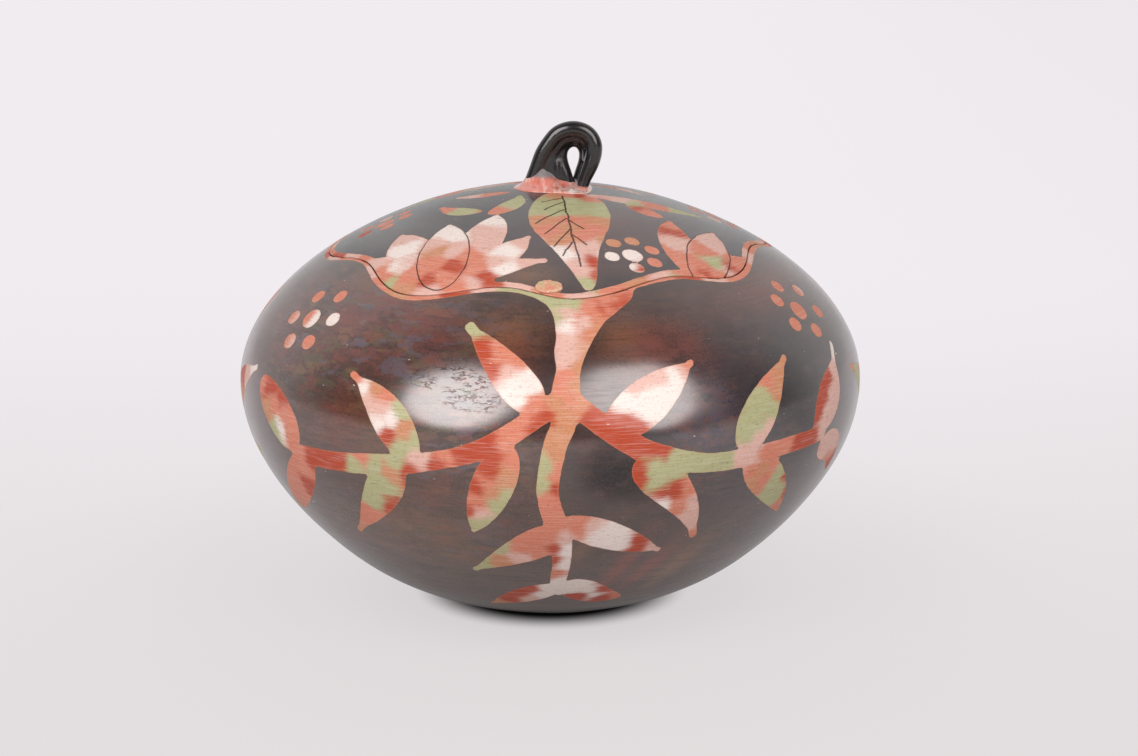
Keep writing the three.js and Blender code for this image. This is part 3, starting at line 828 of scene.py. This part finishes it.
class Finish:  # the look of a material or of the world, made node by node
    def __init__(self, holder):
        holder.use_nodes = True
        self.holder, self.tree = holder, holder.node_tree
        self.tree.nodes.clear()

    def node(self, kind, settings=None, sockets=None, output=0):
        made = self.tree.nodes.new(kind)
        for key, value in (settings or {}).items():
            setattr(made, key, value)
        for key, value in (sockets or {}).items():
            if isinstance(value, Wire):
                self.tree.links.new(value.socket, made.inputs[key])
            else:
                made.inputs[key].default_value = value
        return Wire(self, made.outputs[output])

    def place(self, output="Object"):
        return self.node("ShaderNodeTexCoord", output=output)

    def ray(self, kind):
        return self.node("ShaderNodeLightPath", output=kind)

    def field(self, name, output="Fac"):
        return self.node("ShaderNodeAttribute", {"attribute_name": name}, output=output)

    def parts(self, vector):
        return [self.node("ShaderNodeSeparateXYZ", {}, {0: vector}, part) for part in range(3)]

    def combine(self, x, y, z):
        return self.node("ShaderNodeCombineXYZ", {}, {0: x, 1: y, 2: z})

    def noise(self, vector, scale=1.0, detail=2.0, rough=0.5, output="Fac"):
        sockets = {"Vector": vector, "Scale": scale, "Detail": detail, "Roughness": rough}
        return self.node("ShaderNodeTexNoise", {}, sockets, output)

    def between(self, value, low, high, start=0.0, end=1.0):
        sockets = {"Value": value, "From Min": low, "From Max": high, "To Min": start, "To Max": end}
        return self.node("ShaderNodeMapRange", {"interpolation_type": "SMOOTHSTEP"}, sockets)

    def mix(self, share, first, second):
        return self.node("ShaderNodeMix", {"data_type": "RGBA"}, {0: share, 6: first, 7: second}, 2)

    def wash(self, base, layers):  # colours laid over a base, each by its pattern's level
        for pattern, low, high, share, colour in layers:
            base = self.mix(self.between(pattern, low, high) * share, base, colour)
        return base

    def bump(self, height, distance):
        sockets = {"Height": height, "Distance": distance, "Strength": 1.0}
        return self.node("ShaderNodeBump", {}, sockets)

    def close(self, shader, kind="ShaderNodeOutputMaterial"):
        made = self.tree.nodes.new(kind)
        self.tree.links.new(shader.socket, made.inputs["Surface"])
        return self.holder


burnish = {
    "slipRough": 0.5,
    "groundRough": 0.42,
    "gloss": 0.06,
    "coatRough": 0.2,
    "coatIor": 2.0,
    "relief": 0.00004,
    "slipBlend": 2.7,  # millimetres over which one slip goes over into the next
    "scored": (0.016, 0.008, 0.006, 1),  # colour of the knife-drawn lines
    "veinEdge": (0.13, 0.36),  # half their width in millimetres, in full and at the outer edge
    "marbling": [(0.0, plum, 0.7), (7.0, moss, 0.75), (15.0, dusk, 0.85), (23.0, ochre, 0.55),
                 (31.0, umber, 0.5)],  # seed, tone and share
    "crazed": [(-29, 91.8, 15, 4.2, 1.0), (-19, 86, 14, 3, 0.8)],  # places where the polish has crackled
}
weave = {  # noises drawn out round the form: fineness round it and up it, detail, roughness
    "streak": (62, 900, 3, 0.6),  # long strokes of the burnishing stone
    "fine": (110, 3200, 2, 0.6),
    "cloud": (38, 62, 5, 0.66),
    "mottle": (130, 260, 4, 0.7),
    "marbling": (105, 230, 4, 0.62),
    "shift": (80, 2400, 3, 0.66),
    "sway": (90, 260, 2, 0.5),
    "worn": (240, 2600, 3, 0.7),
    "nick": (500, 1100, 1, 0.5),
    "scuff": (130, 1500, 4, 0.7),
    "crackle": (290, 1000, 3, 0.6),
}


def veinMask(f, x, y, lines):  # how near a point is to any of the lines, seen from above
    nearest = None
    for turned in (1, -1):
        for x1, y1, x2, y2 in lines:
            dx, dy = (x2 - x1) * mm * turned, (y2 - y1) * mm * turned
            px, py = x - x1 * mm * turned, y - y1 * mm * turned
            share = ((px * dx + py * dy) / (dx * dx + dy * dy)).most(0.0).least(1.0)
            away = (px - share * dx) ** 2.0 + (py - share * dy) ** 2.0
            nearest = away if nearest is None else nearest.least(away)
    full, outer = burnish["veinEdge"]
    return 1 - f.between(nearest, (full * mm) ** 2, (outer * mm) ** 2)


def potteryFinish(name, veinLines):
    f = Finish(bpy.data.materials.new(name))
    place = f.place()
    x, y, z = f.parts(place)
    climb = f.field("climb")

    def woven(pattern, seed=0.0, output="Fac"):
        around, up, detail, rough = weave[pattern]
        spot = f.combine(x * around + seed, y * around, climb * up)
        return f.noise(spot, 1, detail, rough, output)

    streak, fine, cloud, mottle = woven("streak"), woven("fine"), woven("cloud"), woven("mottle")
    grain = f.noise(place, 1300, 2, 0.6)
    # ground
    smoke = f.field("smoke", "Color")
    marbled = f.field("marbled")
    ground = f.mix(f.between(cloud, 0.52, 0.7) * (marbled * 0.3 + 0.08), smoke, tones[umber])
    ground = f.wash(ground, [
        (cloud, 0.48, 0.34, 0.5, tones[night]),
        (streak, 0.5, 0.72, 0.4, tones[night]),
        (fine, 0.55, 0.8, 0.2, tones[ash]),
    ])
    for seed, tone, share in burnish["marbling"]:
        cloudy = f.between(woven("marbling", seed), 0.53, 0.62)
        ground = f.mix(cloudy * marbled * share, ground, tones[tone])
    ground = f.wash(ground, [
        (mottle, 0.46, 0.32, 0.22, tones[night]),
        (grain, 0.51, 0.66, 0.24, tones[ash]),
        (grain, 0.49, 0.34, 0.28, tones[night]),
    ])
    # slips: the nearest dab wins, and noise breaks up the border between two of them
    shift = f.parts(woven("shift", output="Color")) + f.parts(woven("shift", 9.0, "Color"))
    sway = f.parts(woven("sway", output="Color"))
    weights = f.parts(f.field("firstSlips", "Vector")) + f.parts(f.field("otherSlips", "Vector"))
    best, colour = None, None
    for weight, wobble, drift, slip in zip(weights, shift, sway + sway[::-1], slips.values()):
        weight = weight + wobble * 5.4 + drift * 1.2
        if best is None:
            best, colour = weight, slip
        else:
            over = f.between(weight - best, -burnish["slipBlend"], burnish["slipBlend"])
            colour = f.mix(over, colour, slip)
            best = best.most(weight)
    edge = f.field("paintEdge") + (f.noise(place, 300, 2, 0.5) - 0.5) * 0.5
    colour = f.wash(colour, [
        (fine, 0.48, 0.68, 0.18, slips[cream]),
        (fine, 0.5, 0.3, 0.13, slips[red]),
        (grain, 0.54, 0.7, 0.22, tones[ash]),
        (edge, -0.6, -0.1, 0.22, slips[orange]),
    ])
    worn = f.between(woven("worn"), 0.62, 0.74)
    painted = (1 - f.between(edge, -0.1, 0.1)) * (1 - worn * 0.7)
    base = f.mix(painted, ground, colour)
    # knife-drawn lines
    relief = streak * 0.5 + fine * 0.25
    if veinLines:
        wx, wy, wz = f.parts(f.noise(place, 260, 2, 0.5, "Color"))
        scored = veinMask(f, x + (wx - 0.5) * 0.0012, y + (wy - 0.5) * 0.0012, veinLines)
        around = f.field("scoredEdge") + (wz - 0.5) * 0.8
        around = around * around
        scored = scored.most((1 - f.between(around, 0.012, 0.06)) * painted)
        base = f.mix(scored * 0.85, base, burnish["scored"])
        relief = relief - scored * 4.0
    nick = f.between(woven("nick"), 0.8, 0.82)
    base = f.mix(nick * 0.6, base, slips[cream])
    base = f.mix(f.field("inside"), base, f.mix(cloud, tones[ash], tones[ochre]))
    # polish
    ground, slip = burnish["groundRough"], burnish["slipRough"]
    rough = f.between(streak, 0.2, 0.8, ground - 0.05, ground + 0.08) + painted * (slip - ground)
    scuff = woven("scuff") + (cloud - 0.5) * 0.35
    dull = f.between(scuff, 0.5, 0.7) * 0.22
    waves = woven("crackle") - 0.5
    waves = f.between(waves * waves, 0.0024, 0.0002) * f.between(mottle, 0.42, 0.5)
    for middleX, middleZ, wide, high, share in burnish["crazed"]:  # all four in millimetres
        across, along = (x - middleX * mm) / (wide * mm), (z - middleZ * mm) / (high * mm)
        spot = (1 - across * across - along * along).most(0.0)
        dull = dull.most(waves * f.between(spot, 0.0, 0.5) * share)
    dull = dull * f.between(y, -0.04, -0.07)
    sooty = f.between(f.parts(smoke)[0], 0.006, 0.03, 0.5, 1)  # the darkest smoke is duller
    polish = (1 - dull * f.between(z, 0.118, 0.1) * 0.8) * (1 - painted * 0.78)
    polish = polish * f.between(z, 0, 0.07, 0.6, 1) * sooty
    return f.close(f.node("ShaderNodeBsdfPrincipled", {}, {
        "Base Color": base,
        "Roughness": rough,
        "Specular IOR Level": burnish["gloss"],
        "Coat Weight": polish,
        "Coat Roughness": burnish["coatRough"],
        "Coat IOR": burnish["coatIor"],
        "Normal": f.bump(relief, burnish["relief"]),
    }))


print("jar")
jar, jarWhere = turnedShell("jar_shell", jarPaths, (0.0, form["floor"]))
paintJar(jar, jarWhere)
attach(jar, "jar")
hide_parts("jar_body")
jar.data.materials.append(potteryFinish("jarPottery", []))

print("lid")
lid, lidWhere = turnedShell("lid_shell", lidPaths, (form["crown"] - form["wall"], form["crown"]))
paintLid(lid, lidWhere)
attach(lid, "lid")
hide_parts("lid")
lid.data.materials.append(potteryFinish("lidPottery", veins))


# Handle: two coils luted side by side, rubbed together while wet
handle = {  # stations of each coil: x, y, height above the crown, thickness
    "coils": [
        [(-6.6, -0.6, -1.2, 5.2), (-4.8, -0.9, 3.6, 5.2), (-3.8, -1.1, 6.4, 5.2),
         (-2.4, -1.4, 10.2, 5.2), (-0.5, -1.7, 13.4, 5.2), (2.0, -2.0, 16.5, 5.2),
         (4.8, -2.2, 18.0, 5.2), (7.8, -2.3, 18.4, 5.2), (10.8, -2.4, 17.6, 5.2),
         (12.9, -2.4, 15.8, 5.2), (14.0, -2.5, 13.2, 5.2), (13.9, -2.5, 10.3, 5.2),
         (13.1, -2.6, 7.4, 5.0), (12.0, -2.6, 4.6, 4.5), (10.9, -2.6, 1.8, 3.9), (9.6, -2.6, -2.2, 3.8)],
        [(5.6, 0.3, -1.2, 5.0), (4.6, 0.4, 2.8, 5.2), (3.4, 0.6, 6.4, 5.3), (2.9, 0.8, 9.4, 5.3),
         (3.5, 1.0, 12.1, 5.3), (5.3, 1.1, 14.1, 5.3), (7.6, 1.2, 14.8, 5.3), (10.0, 1.3, 13.9, 5.3),
         (11.5, 1.5, 11.6, 5.3), (11.7, 1.8, 9.0, 5.2), (11.2, 2.1, 6.4, 5.1), (10.3, 2.4, 3.6, 5.1),
         (8.5, 2.5, -2.2, 4.9)],
        [(-2.2, -0.3, -1.0, 5.4), (-1.0, -0.5, 4.4, 5.2), (0.0, -0.6, 8.6, 4.8),
         (1.5, -0.7, 12.0, 4.6), (4.2, -0.8, 14.9, 4.4), (7.6, -0.8, 16.0, 4.4),
         (11.0, -0.7, 14.8, 4.4), (12.5, -0.6, 11.4, 4.6), (12.2, -0.2, 7.6, 4.2)],
        [(1.6, -0.3, -1.0, 5.4), (1.6, -0.4, 4.8, 5.0), (1.5, -0.3, 8.6, 4.4)],
    ],
    "eye": (7.3, 8.6),
    "rustReach": (7.8, 4.5),  # how far round the eye the clay has rusted, faintly and in full
    "black": (0.010, 0.009, 0.010, 1),
    "rust": (0.13, 0.075, 0.06, 1),
    "voxel": 0.0002,
    "rubs": 60,
}


def coilTube(coil):
    curve = bpy.data.curves.new("coil", "CURVE")
    curve.dimensions = "3D"
    curve.bevel_depth = 1.0
    curve.bevel_resolution = 8
    curve.use_fill_caps = True
    way = smoothRows(coil)
    spline = curve.splines.new("POLY")
    spline.points.add(len(way) - 1)
    for point, (x, y, z, thick) in zip(spline.points, way):
        point.co = (x * mm, y * mm, (form["crown"] + z) * mm, 1)
        point.radius = thick / 2 * mm
    tube = bpy.data.objects.new("coil", curve)
    bpy.context.scene.collection.objects.link(tube)
    mesh = bpy.data.meshes.new_from_object(tube.evaluated_get(bpy.context.evaluated_depsgraph_get()))
    bpy.data.objects.remove(tube)
    return mesh


def fusedHandle():
    verts, faces = [], []
    bpy.context.view_layer.update()
    for coil in handle["coils"]:
        mesh = coilTube(coil)
        start = len(verts)
        verts += [tuple(v.co) for v in mesh.vertices]
        faces += [tuple(start + i for i in polygon.vertices) for polygon in mesh.polygons]
    loop = makePiece("looped_handle", verts, faces)
    remesh = loop.modifiers.new("fuse", "REMESH")
    remesh.mode, remesh.voxel_size = "VOXEL", handle["voxel"]
    smooth = loop.modifiers.new("rub", "SMOOTH")
    smooth.factor, smooth.iterations = 0.5, handle["rubs"]
    bpy.context.view_layer.update()
    done = bpy.data.meshes.new_from_object(loop.evaluated_get(bpy.context.evaluated_depsgraph_get()))
    loop.modifiers.clear()
    loop.data = done
    done.name = "looped_handle"
    done.shade_smooth()
    return loop


print("handle")
loop = fusedHandle()
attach(loop, "lid")
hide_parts("handle_front_coil", "handle_back_coil")


def blackFinish():
    f = Finish(bpy.data.materials.new("blackClay"))
    place = f.place()
    x, _, z = f.parts(place)
    eyeX, eyeZ = handle["eye"]
    away = ((x - eyeX * mm) ** 2.0 + (z - (form["crown"] + eyeZ) * mm) ** 2.0) ** 0.5
    faint, full = handle["rustReach"]
    rust = f.between(away, faint * mm, full * mm) * 0.6
    speck = f.between(f.noise(place, 900, 3, 0.7), 0.6, 0.75)
    return f.close(f.node("ShaderNodeBsdfPrincipled", {}, {
        "Base Color": f.mix(speck * (0.04 + rust), handle["black"], handle["rust"]),
        "Roughness": f.between(f.noise(place, 500, 2, 0.6), 0.3, 0.7, 0.18, 0.32),
        "Specular IOR Level": 0.12,
        "Coat Weight": 1.0 - rust * 0.5,
        "Coat Roughness": 0.19,
        "Coat IOR": 1.55,
        "Normal": f.bump(f.noise(place, 380, 2, 0.5), 0.0001),
    }))


loop.data.materials.append(blackFinish())


# Patches of clay on the dome: a closed heap whose rim sits just inside the wall
def heap(name, middle, outline, height, rings=34, columns=120, sink=0.35):
    verts, faces = [], []
    angles = np.linspace(0, 2 * math.pi, columns, endpoint=False)
    for ring in range(1, rings + 1):
        share = ring / rings
        for angle in angles:
            reach = outline(angle)
            x = middle[0] + reach[0] * share * math.cos(angle)
            y = middle[1] + reach[1] * share * math.sin(angle)
            base = float(domeRise(math.hypot(x, y))) + form["bellyHeight"]
            edge = math.sqrt(max(0.0, 1 - share**16))
            verts.append((x, y, base - sink + (height(x, y, share) + sink) * edge))
    top = len(verts)
    base = float(domeRise(math.hypot(*middle))) + form["bellyHeight"]
    verts += [(*middle, base + height(*middle, 0.0)), (*middle, base - sink - 0.5)]
    for ring in range(rings - 1):
        for column in range(columns):
            a, b = ring * columns + column, ring * columns + (column + 1) % columns
            faces.append((a, a + columns, b + columns, b))
    for column in range(columns):
        beside = (column + 1) % columns
        faces.append((top, column, beside))
        last = (rings - 1) * columns
        faces.append((top + 1, last + beside, last + column))
    return makePiece(name, np.array(verts) * mm, faces)


collar = {
    "middle": (0.6, -0.2),
    "rim": [(13.2, -4.6), (12.9, 2.5), (9.5, 7.6), (3.0, 9.6), (-4.5, 8.8), (-10.0, 4.6), (-12.0, -0.3),
            (-10.6, -4.6), (-6.8, -8.7), (-1.7, -10.5), (3.0, -11.0), (7.7, -11.2), (11.8, -10.6)],
    "lip": 0.14,
    "rise": 2.0,
    "web": {"x": -0.9, "y": -2.9, "rise": 5.2, "wide": 3.1},
    "deep": daylight(190, 88, 74),
    "glaze": daylight(202, 122, 107),
    "pale": daylight(214, 168, 156),
    "grey": (0.20, 0.18, 0.185, 1),
    "greyRise": (2.4, 4.0),  # the web goes over into the handle's grey between these heights
    "fillets": (2.0, 0.5, 0.8, 0.3),  # clay pressed up round each foot of the handle
}
rimTurns = [math.atan2(y - collar["middle"][1], x - collar["middle"][0]) for x, y in collar["rim"]]
rimReaches = [math.hypot(y - collar["middle"][1], x - collar["middle"][0]) for x, y in collar["rim"]]


def collarOutline(angle):
    wave = 1 + 0.02 * noise.noise(Vector((2.2 * math.cos(angle), 2.2 * math.sin(angle), 3)))
    reach = np.interp(wrapTurn(angle), rimTurns, rimReaches, period=2 * math.pi) * wave
    return reach, reach


feet = [coil[end] for coil in handle["coils"][:2] for end in (1, -2)]


def collarHeight(x, y, share):
    lean = min(1.6, max(0.2, 1 - 0.1 * x))  # higher on the left
    lift = collar["lip"] + collar["rise"] * (1 - share) * lean
    for foot, fillet in zip(feet, collar["fillets"]):
        away = max(0.0, math.hypot(x - foot[0], y - foot[1]) - 2.4)
        lift += fillet * math.exp(-((away / 1.6) ** 2))
    web = collar["web"]
    away = math.hypot(x - web["x"], (y - web["y"]) * 0.7) / web["wide"]
    lift += (web["rise"] - 2.4) * math.exp(-(away**3))
    fine, broad = noise.noise(Vector((x / 1.9, y / 1.9, 5))), noise.noise(Vector((x / 4, y / 4, 9)))
    lift += 0.14 * fine + 0.2 * broad
    return lift


print("collar and pad")
collarPiece = heap("collar_slip", collar["middle"], collarOutline, collarHeight)
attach(collarPiece, "lid")
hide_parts("handle_collar")


def collarFinish():
    f = Finish(bpy.data.materials.new("collarSlip"))
    place = f.place()
    x, y, z = f.parts(place)
    blotch = f.noise(f.combine(x * 420, y * 150, z * 60), 1, 3, 0.6)
    blotch = blotch + f.between(x, -0.008, 0.012) * 0.12
    greyStart, greyFull = collar["greyRise"]
    base = f.wash(collar["deep"], [
        (blotch, 0.34, 0.5, 1, collar["glaze"]),
        (blotch, 0.5, 0.64, 1, collar["pale"]),
        (blotch, 0.66, 0.74, 1, slips[cream]),
        (f.noise(place, 600, 3, 0.6), 0.58, 0.7, 0.2, slips[orange]),
        (z, (form["crown"] + greyStart) * mm, (form["crown"] + greyFull) * mm, 1, collar["grey"]),
    ])
    return f.close(f.node("ShaderNodeBsdfPrincipled", {}, {
        "Base Color": base,
        "Roughness": 0.3,
        "Specular IOR Level": 0.6,
        "Coat Weight": 1.0,
        "Coat Roughness": 0.06,
        "Normal": f.bump(f.noise(place, 420, 2, 0.5), 0.0005),
    }))


collarPiece.data.materials.append(collarFinish())

pad = {
    "reach": (4.6, 2.35),  # half its width and half its depth, seen from above
    "rise": 0.85,
    "inset": 0.5,
    "tan": daylight(190, 148, 117),
}
padRadius = float(formRadius(seamRise(np.array([0.0]))[0])) - pad["inset"] - pad["reach"][1]


def padOutline(angle):
    wave = 0.94 + 0.06 * noise.noise(Vector((1.6 * math.cos(angle), 1.6 * math.sin(angle), 8)))
    return pad["reach"][0] * wave, pad["reach"][1] * wave


def padHeight(x, y, share):
    bumps = 0.28 * noise.noise(Vector((x / 0.9, y / 0.9, 2)))
    return pad["rise"] * (1 - 0.35 * share**2) + bumps


padPiece = heap("rim_pad", (0.0, -padRadius), padOutline, padHeight, 18, 72)
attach(padPiece, "lid")
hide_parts("alignment_pad")


def padFinish():
    f = Finish(bpy.data.materials.new("padClay"))
    place = f.place()
    blotch = f.noise(place, 420, 3, 0.6)
    base = f.wash(pad["tan"], [
        (blotch, 0.5, 0.42, 0.8, slips[salmon]),
        (blotch, 0.54, 0.64, 0.7, slips[green]),
        (f.noise(place, 900, 2, 0.6), 0.6, 0.7, 0.6, slips[cream]),
    ])
    return f.close(f.node("ShaderNodeBsdfPrincipled", {}, {
        "Base Color": base,
        "Roughness": 0.5,
        "Coat Weight": 0.4,
        "Coat Roughness": 0.2,
        "Normal": f.bump(f.noise(place, 900, 3, 0.7), 0.00015),
    }))


padPiece.data.materials.append(padFinish())

# Studio
studio = {
    "floorSize": 14.0,
    "floorColour": (0.56, 0.544, 0.548, 1),
    "farColour": daylight(241, 236, 240),
    "nearColour": daylight(227, 222, 223),
    "lamps": [{"turn": -35, "elevation": 29, "power": 12.9, "size": (0.8, 1.05)},
              {"turn": 34, "elevation": 31.2, "power": 10.7, "size": (0.88, 1.12)}],
    "lampAway": 1.2,
    "lampAim": 0.08,  # height of the spot that both lamps point at
    "lampColour": (1, 0.945, 0.935),
    "paintedShadowColour": (0.03, 0.028, 0.028, 1),  # painted shadow on the floor close under the belly, where little light gets in
    # the painted shadow is full out to the first distance from the axis and gone by the second, in metres
    "under": (0.026, 0.078),
    "shadow": [(0.03, 0.046, 0.85), (0.06, 0.22, 0.15)],  # its steep and its soft edge, and their shares
    "world": {"front": 0.05, "behind": 0.83, "seen": 0.87},
}


def makeFloor():
    half = studio["floorSize"] / 2
    corners = [(-half, -half, 0), (half, -half, 0), (half, half, 0), (-half, half, 0)]
    floor = makePiece("floor", corners, [(0, 1, 2, 3)])
    f = Finish(bpy.data.materials.new("floorSheet"))
    x, y, _ = f.parts(f.place())
    near = (f.between(y, 0.55, -0.2) + f.between(x, 0.1, 0.5) * 0.25).least(1.0)
    sheet = f.mix(near, studio["farColour"], studio["nearColour"])
    glow = f.node("ShaderNodeEmission", {}, {"Color": sheet, "Strength": 1.0})
    away = (x**2.0 + y**2.0) ** 0.5
    steep, soft = [f.between(away, start, end) * share for start, end, share in studio["shadow"]]
    # the floor's own colour, with the painted shadow laid in close under the jar
    dim = f.mix(f.between(away, *studio["under"]), studio["paintedShadowColour"], studio["floorColour"])
    plain = {"Base Color": dim, "Roughness": 1.0, "Specular IOR Level": 0.0}
    diffuse = f.node("ShaderNodeBsdfPrincipled", {}, plain)
    bright = f.between(y, -0.2, 0.15).most(f.between(x * x, 0.01, 0.06))
    glowing = (steep + soft) * f.ray("Is Camera Ray").most(f.ray("Is Glossy Ray") * bright)
    shader = f.node("ShaderNodeMixShader", {}, {0: glowing, 1: diffuse, 2: glow})
    floor.data.materials.append(f.close(shader))


def makeLamp(index, lamp):
    light = bpy.data.lights.new(f"softbox{index}", "AREA")
    light.shape, light.energy = "ELLIPSE", lamp["power"]
    light.size, light.size_y = lamp["size"]
    light.color = studio["lampColour"]
    holder = bpy.data.objects.new(light.name, light)
    turn, elevation = math.radians(lamp["turn"]), math.radians(lamp["elevation"])
    aim = Vector((0, 0, studio["lampAim"]))
    flat = math.cos(elevation)
    away = Vector((math.sin(turn) * flat, -math.cos(turn) * flat, math.sin(elevation)))
    holder.location = aim + away * studio["lampAway"]
    holder.rotation_mode = "QUATERNION"
    holder.rotation_quaternion = away.to_track_quat("Z", "Y")
    bpy.context.scene.collection.objects.link(holder)


def makeWorld():
    world = bpy.data.worlds.new("studio")
    bpy.context.scene.world = world
    f = Finish(world)
    light = studio["world"]
    behind = f.between(f.parts(f.place("Generated"))[1], -0.3, 0.5)
    seen = f.ray("Is Camera Ray")
    level = (behind * light["behind"] + light["front"]) * (1 - seen) + seen * light["seen"]
    f.close(f.node("ShaderNodeBackground", {}, {"Strength": level}), "ShaderNodeOutputWorld")


makeFloor()
for index, lamp in enumerate(studio["lamps"]):
    makeLamp(index, lamp)
makeWorld()

camera = {
    "elevation": 13.5,
    "away": 0.9,
    "lens": 87.8,
    "aim": (0.006, -0.00175),  # right of and above the middle of the widest ring, across the view
}


def makeCamera():
    elevation = math.radians(camera["elevation"])
    back = Vector((0, -math.cos(elevation), math.sin(elevation)))
    up = Vector((0, math.sin(elevation), math.cos(elevation)))
    right, rise = camera["aim"]
    aim = Vector((right, 0, form["bellyHeight"] * mm)) + up * rise
    data = bpy.data.cameras.new("camera")
    data.lens, data.sensor_width = camera["lens"], 36
    data.clip_start, data.clip_end = 0.05, 50
    holder = bpy.data.objects.new("camera", data)
    holder.location = aim + back * camera["away"]
    holder.rotation_mode = "QUATERNION"
    holder.rotation_quaternion = back.to_track_quat("Z", "Y")
    bpy.context.scene.collection.objects.link(holder)
    bpy.context.scene.camera = holder


makeCamera()
bpy.context.scene.view_settings.view_transform = "Standard"

bpy.context.view_layer.update()
print("scene done")
